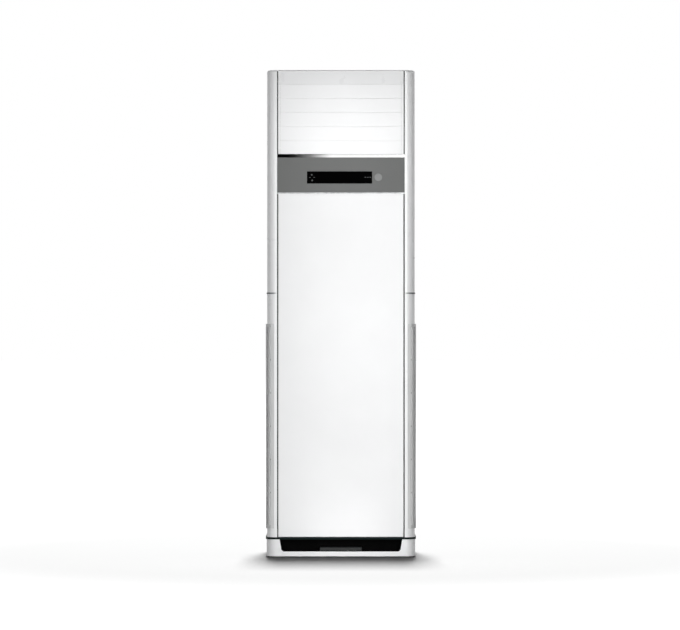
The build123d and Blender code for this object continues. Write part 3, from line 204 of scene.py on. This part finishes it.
def carry(tree, value, start=(0.0, 1.0), end=(0.0, 1.0), interpolation="LINEAR"):
    """The value carried from one range to another."""
    node = tree.nodes.new("ShaderNodeMapRange")
    node.interpolation_type = interpolation
    node.inputs["From Min"].default_value, node.inputs["From Max"].default_value = start
    node.inputs["To Min"].default_value, node.inputs["To Max"].default_value = end
    tree.links.new(value, node.inputs["Value"])
    return node.outputs["Result"]


def spread(tree, value, low, high):
    """The value's middle range carried to low..high."""
    return carry(tree, value, NOISE_MIDDLE, (low, high))


def ramp(tree, value, stops):
    """A colour ramp: stops are (place, colour)."""
    node = tree.nodes.new("ShaderNodeValToRGB")
    elements = node.color_ramp.elements
    while len(elements) < len(stops):
        elements.new(0.5)
    for element, (place, color) in zip(elements, stops):
        element.position = place
        element.color = (*color, 1)
    tree.links.new(value, node.inputs["Fac"])
    return node.outputs["Color"]


def shade(color, factor):
    """A colour made darker or lighter."""
    return tuple(min(1.0, c * factor) for c in color)


def mottled(tree, value, color, share):
    """The colour, darker and lighter by a share over the value's middle range."""
    low, high = NOISE_MIDDLE
    return ramp(tree, value, [(low, shade(color, 1 - share)), (high, shade(color, 1 + share))])


def bump(tree, shader, height, strength, distance):
    """A bump from a height value."""
    node = tree.nodes.new("ShaderNodeBump")
    node.inputs["Strength"].default_value = strength
    node.inputs["Distance"].default_value = distance
    tree.links.new(height, node.inputs["Height"])
    tree.links.new(node.outputs["Normal"], shader.inputs["Normal"])


# ---- Materials ----------------------------------------------------------------------------------

def moulded(name, color, roughness, peel=0.03, peel_scale=420.0, specular=0.5, cloud=0.012):
    """Moulded or painted surface: faint clouding, uneven gloss and a fine orange peel."""
    made, tree, shader, coords = node_material(name)
    clouds = noise(tree, coords, CLOUD_SCALE)
    tree.links.new(mottled(tree, clouds, color, cloud), shader.inputs["Base Color"])
    gloss = noise(tree, coords, GLOSS_SCALE)
    tree.links.new(spread(tree, gloss, roughness * (1 - GLOSS_CHANGE), roughness * (1 + GLOSS_CHANGE)),
                   shader.inputs["Roughness"])
    shader.inputs["Specular IOR Level"].default_value = specular
    bump(tree, shader, noise(tree, coords, peel_scale, 2.0), peel, PEEL_HEIGHT)
    return made


def textured(name, color, roughness=0.6, specular=0.3):
    """Matt plastic with a fine spark-eroded grain."""
    return moulded(name, color, roughness, peel=0.25, peel_scale=1500.0, specular=specular, cloud=0.05)


def metal(name, color, roughness, stretch=(1, 1, 1), scale=160.0, mottle=0.1):
    """Bare metal with a grain that may run along one axis."""
    made, tree, shader, coords = node_material(name)
    grain = noise(tree, coords, scale, 4.0, stretch)
    tree.links.new(mottled(tree, grain, color, mottle), shader.inputs["Base Color"])
    smooth = roughness * (1 - METAL_GLOSS_CHANGE)
    rough = roughness * (1 + METAL_GLOSS_CHANGE)
    tree.links.new(spread(tree, grain, smooth, rough), shader.inputs["Roughness"])
    shader.inputs["Metallic"].default_value = 1.0
    bump(tree, shader, grain, 0.08, METAL_RELIEF)
    return made


def galvanised(name):
    """Zinc coated sheet with its crystal spangle."""
    made, tree, shader, coords = node_material(name)
    cells = tree.nodes.new("ShaderNodeTexVoronoi")
    cells.inputs["Scale"].default_value = SPANGLE_SCALE
    tree.links.new(coords, cells.inputs["Vector"])
    tone = tree.nodes.new("ShaderNodeSeparateColor")
    tree.links.new(cells.outputs["Color"], tone.inputs["Color"])
    tree.links.new(ramp(tree, tone.outputs["Red"], SPANGLE_TONES), shader.inputs["Base Color"])
    tree.links.new(spread(tree, tone.outputs["Green"], 0.3, 0.45), shader.inputs["Roughness"])
    shader.inputs["Metallic"].default_value = 1.0
    bump(tree, shader, tone.outputs["Blue"], 0.04, METAL_RELIEF)
    return made


def chrome_painted_reflection(name):
    """Chrome strip with a painted reflection: its colour fades from black at its left end to bright."""
    made, tree, shader, coords = node_material(name)
    low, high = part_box("chrome_trim")
    along = carry(tree, one_axis(tree, coords, "X"), (low.x, high.x))
    tones = [(place, (tone, tone, tone)) for place, tone in CHROME_PAINTED_REFLECTION]
    tree.links.new(ramp(tree, along, tones), shader.inputs["Base Color"])
    tree.links.new(spread(tree, noise(tree, coords, 60.0), 0.05, 0.09), shader.inputs["Roughness"])
    shader.inputs["Metallic"].default_value = 1.0
    return made


def painted_shade_seam(name):
    """Side seam with painted shade: dark on the flanks of the columns, where the groove is in shade, lighter
    towards the front panel.
    """
    made, tree, shader, coords = node_material(name)
    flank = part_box("seam_strips")[1].x
    outwards = calculate(tree, "ABSOLUTE", one_axis(tree, coords, "X"))
    share = carry(tree, outwards, (flank - SEAM_SHADE_FADE, flank))
    tree.links.new(ramp(tree, share, SEAM_SHADE_TONES), shader.inputs["Base Color"])
    tree.links.new(spread(tree, noise(tree, coords, GLOSS_SCALE), 0.45, 0.6), shader.inputs["Roughness"])
    shader.inputs["Specular IOR Level"].default_value = 0.1
    bump(tree, shader, noise(tree, coords, 700.0, 2.0), 0.05, 0.3 * MM)
    return made


def circuit_board(name):
    """Green board: traces as thin cells, darker and lighter."""
    made, tree, shader, coords = node_material(name)
    bricks = tree.nodes.new("ShaderNodeTexBrick")
    bricks.inputs["Scale"].default_value = BOARD_CELL_SCALE
    bricks.inputs["Color1"].default_value = (0.02, 0.13, 0.05, 1)
    bricks.inputs["Color2"].default_value = (0.03, 0.17, 0.07, 1)
    bricks.inputs["Mortar"].default_value = (0.06, 0.28, 0.12, 1)
    mapping = tree.nodes.new("ShaderNodeMapping")
    mapping.inputs["Rotation"].default_value = (math.pi / 2, 0, 0)
    tree.links.new(coords, mapping.inputs["Vector"])
    tree.links.new(mapping.outputs["Vector"], bricks.inputs["Vector"])
    tree.links.new(bricks.outputs["Color"], shader.inputs["Base Color"])
    tree.links.new(spread(tree, noise(tree, coords, 40.0), 0.3, 0.42), shader.inputs["Roughness"])
    bump(tree, shader, bricks.outputs["Fac"], 0.15, 0.1 * MM)
    return made


def net_ribs(tree, coords, axis):
    """Evenly spaced ribs along an axis."""
    wave = tree.nodes.new("ShaderNodeTexWave")
    wave.bands_direction = axis
    wave.inputs["Scale"].default_value = NET_RIB_SCALE
    tree.links.new(coords, wave.inputs["Vector"])
    return wave.outputs["Fac"]


def filter_net(name):
    """Fine black net: a woven pattern of small ribs in Y and Z."""
    made, tree, shader, coords = node_material(name)
    both = calculate(tree, "MAXIMUM", net_ribs(tree, coords, "Y"), net_ribs(tree, coords, "Z"))
    tree.links.new(ramp(tree, both, NET_TONES), shader.inputs["Base Color"])
    tree.links.new(spread(tree, both, 0.8, 0.55), shader.inputs["Roughness"])
    bump(tree, shader, both, 0.5, 0.3 * MM)
    return made


def rubber_and_steel(name):
    """Foot: rubber pad up to a height, zinc plated stud and nut above it."""
    made, tree, shader, coords = node_material(name)
    above = calculate(tree, "GREATER_THAN", one_axis(tree, coords, "Z"), FOOT_PAD_TOP)
    tree.links.new(ramp(tree, above, FOOT_TONES), shader.inputs["Base Color"])
    tree.links.new(above, shader.inputs["Metallic"])
    tree.links.new(spread(tree, noise(tree, coords, 300.0), 0.45, 0.75), shader.inputs["Roughness"])
    bump(tree, shader, noise(tree, coords, 900.0), 0.2, 0.2 * MM)
    return made


WHITE = (0.90, 0.905, 0.91)

finishes = {
    "white_plastic": moulded("case_white", WHITE, 0.3),
    "panel_white": moulded("panel_white", WHITE, 0.22, peel=0.02),
    "louver_white": moulded("slat_white", WHITE, 0.34),
    "grille_plastic": textured("grille_grey", (0.6, 0.605, 0.605), 0.5),
    "filter_plastic": filter_net("filter_net"),
    "black_plastic": textured("matt_black", (0.002, 0.002, 0.002), 0.7, specular=0.02),
    "ledge_plastic": moulded("ledge_grey", (0.012, 0.014, 0.014), 0.4, specular=0.2),
    "dark_seam": moulded("seam_dark", (0.005, 0.011, 0.01), 0.5, specular=0.05),
    "foot_rubber": rubber_and_steel("foot_rubber_and_steel"),
    # Black foam seal in the gaps beside the front panel and the slats; besides its own black, it stands in
    # for the shade in those gaps (painted shade).
    "seal_foam": textured("seal_foam", (0.004, 0.005, 0.005), 0.9, specular=0.03),
    "back_paint": moulded("back_paint", (0.62, 0.63, 0.63), 0.42, peel=0.12, peel_scale=700.0),
    "screw_steel": metal("screw_zinc", (0.6, 0.6, 0.58), 0.35),
    "fascia_grey": moulded("fascia_grey", (0.15, 0.154, 0.151), 0.42, specular=0.12),
    "display_black": moulded("display_black", (0.0003, 0.0003, 0.0003), 0.12, peel=0.0, specular=0.01),
    "button_grey": moulded("button_grey", (0.235, 0.24, 0.238), 0.38, specular=0.2),
    "chrome": chrome_painted_reflection("chrome_painted_reflection"),
    "circuit_board": circuit_board("board_green"),
    "vane_plastic": textured("vane_grey", (0.42, 0.43, 0.43), 0.55),
    "galvanised": galvanised("galvanised_sheet"),
    "motor_paint": textured("motor_black", (0.03, 0.03, 0.032), 0.5),
    "shaft_steel": metal("ground_steel", (0.6, 0.6, 0.6), 0.22, stretch=(1, 0.1, 1)),
    "fin_aluminium": metal("fin_aluminium", (0.75, 0.78, 0.8), 0.3, stretch=(1, 1, 0.2)),
    "copper": metal("copper_tube", (0.8, 0.42, 0.28), 0.26, mottle=0.16, scale=60.0),
    "drain_plastic": textured("drain_grey", (0.12, 0.12, 0.12), 0.5),
}


def dress_nodes():
    """Gives every node the finish of its material slot, and the side seam its own, with painted shade."""
    for part in frame["record"]["subparts"]:
        mesh = nodes[part["node"]].data
        mesh.materials.clear()
        mesh.materials.append(finishes[part["material_slot"]])
    # The side seam's colour carries painted shade, darker towards the columns' flanks.
    nodes["seam_strips"].data.materials[0] = painted_shade_seam("side_seam_painted_shade")


# ---- Edges --------------------------------------------------------------------------------------

def round_edges(names):
    """Rounds the sharp edges of nodes, so that they catch the light as moulded edges do."""
    for name in names:
        bevel = nodes[name].modifiers.new("round_edges", "BEVEL")
        bevel.width = EDGE_WIDTH
        bevel.segments = EDGE_SEGMENTS
        bevel.limit_method = "ANGLE"
        bevel.angle_limit = math.radians(EDGE_ANGLE)
        bevel.harden_normals = True


# ---- Small pieces -------------------------------------------------------------------------------

def mesh_object(name, shape):
    """An object from a bmesh, in no collection yet."""
    mesh = bpy.data.meshes.new(name)
    shape.to_mesh(mesh)
    shape.free()
    return bpy.data.objects.new(name, mesh)


def new_piece(name, shape, material, body):
    """A piece from a bmesh, with its finish, that rides on a body."""
    piece = mesh_object(name, shape)
    piece.data.materials.append(material)
    bpy.context.scene.collection.objects.link(piece)
    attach(piece, body)
    return piece


def add_ring(shape, sides, middle, reach_x, reach_z):
    """One closed ring of vertices that lies upright round its middle."""
    x, y, z = middle
    turns = [2 * math.pi * i / sides for i in range(sides)]
    return [shape.verts.new((x + reach_x * math.cos(turn), y, z + reach_z * math.sin(turn)))
            for turn in turns]


def join_rings(shape, outer, inner):
    """Faces between two rings of as many vertices."""
    for i, corner in enumerate(outer):
        after = (i + 1) % len(outer)
        shape.faces.new((corner, outer[after], inner[after], inner[i]))


def one_indicator(shape, x, face, z, half):
    """A low dome on the pane's face, round or long."""
    rings = []
    for share in INDICATOR_RINGS:
        y = face - INDICATOR_LIFT * MM * (1 - share * share)
        rings.append(add_ring(shape, INDICATOR_SIDES, (x, y, z), half[0] * share * MM, half[1] * share * MM))
    for outer, inner in zip(rings, rings[1:]):
        join_rings(shape, outer, inner)
    shape.faces.new(rings[-1])


def indicators():
    """Two round lenses and a few short bars on the display's pane, all unlit."""
    low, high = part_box("display_window")
    middle_x = (low.x + high.x) / 2
    middle_z = (low.z + high.z) / 2
    shape = bmesh.new()
    for places, half in ((INDICATOR_DOTS, INDICATOR_DOT_HALF), (INDICATOR_BARS, INDICATOR_BAR_HALF)):
        for across, up in places:
            one_indicator(shape, middle_x + across * MM, low.y, middle_z + up * MM, half)
    bmesh.ops.recalc_face_normals(shape, faces=shape.faces)
    lens = moulded("indicator_lens", (0.09, 0.095, 0.095), 0.3, peel=0.0, specular=0.1)
    new_piece("display_indicators", shape, lens, "cabinet")


def one_screw(shape, x, y, z):
    """Shank and domed head of a screw that points into the back at a place."""
    rings = [(-SCREW_SHANK_LENGTH, SCREW_SHANK_RADIUS), (0.0, SCREW_SHANK_RADIUS), *SCREW_HEAD_RINGS]
    last = None
    for height, radius in rings:
        ring = add_ring(shape, SCREW_SIDES, (x, y + height * MM, z), radius * MM, radius * MM)
        if last is None:
            shape.faces.new(ring)
        else:
            join_rings(shape, last, ring)
        last = ring
    shape.faces.new(last)


def recess_cutter(places):
    """Crossed blocks that cut the recesses into the screws' heads."""
    shape = bmesh.new()
    top = SCREW_HEAD_RINGS[-1][0] * MM
    for x, y, z in places:
        for reach_x, reach_z in ((RECESS_REACH, RECESS_HALF), (RECESS_HALF, RECESS_REACH)):
            block = bmesh.ops.create_cube(shape, size=1.0)["verts"]
            size = Vector((2 * reach_x, 2 * RECESS_DEPTH, 2 * reach_z)) * MM
            bmesh.ops.scale(shape, vec=size, verts=block)
            bmesh.ops.translate(shape, vec=Vector((x, y + top, z)), verts=block)
    return mesh_object("recess_cutter", shape)


def screw_middles(mesh):
    """X and Z of each screw's middle, from the vertices that lie within a screw's reach of each other."""
    reach = SCREW_REACH * MM
    groups = []
    for vertex in mesh.vertices:
        x, z = vertex.co.x, vertex.co.z
        for group in groups:
            if abs(x - group[0][0]) < reach and abs(z - group[0][1]) < reach:
                group.append((x, z))
                break
        else:
            groups.append([(x, z)])
    middles = []
    for group in groups:
        across = [x for x, z in group]
        up = [z for x, z in group]
        middles.append(((min(across) + max(across)) / 2, (min(up) + max(up)) / 2))
    return middles


def cut_away(piece, cutter):
    """Takes the cutter out of the piece's mesh, for good; the cutter's blocks may cross each other."""
    bpy.context.scene.collection.objects.link(cutter)
    boolean = piece.modifiers.new("cut", "BOOLEAN")
    boolean.operation = "DIFFERENCE"
    boolean.solver = "EXACT"
    boolean.use_self = True
    boolean.object = cutter
    bpy.context.view_layer.update()
    evaluated = piece.evaluated_get(bpy.context.evaluated_depsgraph_get())
    mesh = bpy.data.meshes.new_from_object(evaluated)
    piece.modifiers.clear()
    piece.data = mesh
    bpy.data.objects.remove(cutter)
    for face in mesh.polygons:
        face.use_smooth = True
    mesh.set_sharp_from_angle(angle=math.radians(EDGE_ANGLE))


def screws():
    """Cross-recessed screws in place of the plain ones."""
    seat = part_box("case_screws")[1].y - SCREW_HEAD_RINGS[-1][0] * MM
    places = [(x, seat, z) for x, z in screw_middles(nodes["case_screws"].data)]
    shape = bmesh.new()
    for place in places:
        one_screw(shape, *place)
    bmesh.ops.recalc_face_normals(shape, faces=shape.faces)
    piece = new_piece("cross_recessed_screws", shape, finishes["screw_steel"], "cabinet")
    cut_away(piece, recess_cutter(places))
    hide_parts("case_screws")


# ---- Stage --------------------------------------------------------------------------------------

def camera_and_background(tree):
    """1 for rays that look for the background: from the camera, in a mirror or through glass."""
    path = tree.nodes.new("ShaderNodeLightPath")
    mirrored = calculate(tree, "MAXIMUM", path.outputs["Is Camera Ray"], path.outputs["Is Glossy Ray"])
    return calculate(tree, "MAXIMUM", mirrored, path.outputs["Is Transmission Ray"])


def make_world():
    """White where it is seen, a plain soft light otherwise."""
    world = bpy.data.worlds.new("studio")
    bpy.context.scene.world = world
    world.use_nodes = True
    tree = world.node_tree
    light = tree.nodes["Background"]
    light.inputs["Color"].default_value = (1, 1, 1, 1)
    strength = carry(tree, camera_and_background(tree), end=(WORLD_LIGHT, WORLD_SEEN))
    tree.links.new(strength, light.inputs["Strength"])


def floor_material():
    """Pale where it is seen, darker otherwise, with a white glow away from the object."""
    made = bpy.data.materials.new("floor_white")
    made.use_nodes = True
    tree = made.node_tree
    tree.nodes.remove(tree.nodes["Principled BSDF"])
    diffuse = tree.nodes.new("ShaderNodeBsdfDiffuse")
    tone = carry(tree, camera_and_background(tree), end=(FLOOR_BOUNCE, FLOOR_SEEN))
    tree.links.new(tone, diffuse.inputs["Color"])
    coords = tree.nodes.new("ShaderNodeTexCoord")
    length = tree.nodes.new("ShaderNodeVectorMath")
    length.operation = "LENGTH"
    tree.links.new(coords.outputs["Object"], length.inputs[0])
    away = carry(tree, length.outputs["Value"], (FLOOR_GLOW_START, FLOOR_GLOW_END), (0.0, FLOOR_GLOW),
                 "SMOOTHSTEP")
    glow = tree.nodes.new("ShaderNodeEmission")
    tree.links.new(calculate(tree, "MULTIPLY", away, camera_and_background(tree)), glow.inputs["Strength"])
    both = tree.nodes.new("ShaderNodeAddShader")
    tree.links.new(diffuse.outputs["BSDF"], both.inputs[0])
    tree.links.new(glow.outputs["Emission"], both.inputs[1])
    tree.links.new(both.outputs["Shader"], tree.nodes["Material Output"].inputs["Surface"])
    return made


def make_floor():
    """Floor that keeps the object's shadow and turns white away from it."""
    bpy.ops.mesh.primitive_plane_add(size=2 * FLOOR_HALF)
    floor = bpy.context.object
    floor.name = "floor"
    floor.data.materials.append(floor_material())
    return floor


def floor_group(floor, state):
    """A group with the floor, for lamps that light only it (INCLUDE) or all but it (EXCLUDE)."""
    group = bpy.data.collections.new("floor_" + state.lower())
    group.objects.link(floor)
    group.collection_objects[0].light_linking.link_state = state
    return group


def make_lamp(name, place, aim, size, power):
    """A rectangular lamp at a place, turned towards another."""
    light = bpy.data.lights.new(name, "AREA")
    light.shape = "RECTANGLE"
    light.size, light.size_y = size
    light.energy = power
    lamp = bpy.data.objects.new(name, light)
    bpy.context.scene.collection.objects.link(lamp)
    lamp.location = place
    lamp.rotation_euler = (Vector(aim) - Vector(place)).to_track_quat("-Z", "Y").to_euler()
    lamp.visible_camera = False
    return lamp


def plain_lamps():
    """The lamps in front of the object and behind it, which show in no mirror."""
    middle = (0.0, 0.0, (cad_low.z + cad_high.z) / 2)
    lamps = [make_lamp("wide_lamp", WIDE_PLACE, middle, WIDE_SIZE, WIDE_POWER)]
    for i, (height, tall, power) in enumerate(NEAR_LAMPS):
        lamps.append(make_lamp(f"near_lamp_{i + 1}", (NEAR_X, NEAR_Y, height), (NEAR_X, 0, height),
                               (NEAR_WIDTH, tall), power))
    x, y, z = REAR_PLACE
    for side in (-1, 1):
        lamps.append(make_lamp("rear_lamp", (side * x, y, z), middle, REAR_SIZE, REAR_POWER))
    for lamp in lamps:
        lamp.visible_glossy = False
    return lamps


def mirror_cards():
    """The cards in front of the object, which light it by reflection alone."""
    cards = []
    for x, z, width, tall, glow in CARDS:
        power = math.pi * glow * width * tall
        card = make_lamp("mirror_card", (x, CARD_Y, z), (x, 0, z), (width, tall), power)
        card.visible_diffuse = False
        cards.append(card)
    return cards


def make_lights(floor):
    """All lamps: the floor has one of its own, and the others leave it out."""
    without_floor = floor_group(floor, "EXCLUDE")
    for lamp in plain_lamps() + mirror_cards():
        lamp.light_linking.receiver_collection = without_floor
    top = make_lamp("top_lamp", TOP_PLACE, TOP_AIM, TOP_SIZE, TOP_POWER)
    top.light_linking.receiver_collection = floor_group(floor, "INCLUDE")


def make_camera():
    """The photograph's camera."""
    lens = bpy.data.cameras.new("camera")
    lens.lens = LENS
    lens.sensor_width = SENSOR
    lens.sensor_fit = "HORIZONTAL"
    lens.clip_end = 4 * FLOOR_HALF
    camera = bpy.data.objects.new("camera", lens)
    bpy.context.scene.collection.objects.link(camera)
    camera.location = CAMERA_PLACE
    camera.rotation_euler = (math.pi / 2, 0, 0)
    bpy.context.scene.camera = camera


# ---- All of it ----------------------------------------------------------------------------------

dress_nodes()
round_edges(["right_upper_side", "left_upper_side", "right_lower_side", "left_lower_side"])
indicators()
screws()
make_world()
make_lights(make_floor())
make_camera()
bpy.context.scene.view_settings.view_transform = "Standard"
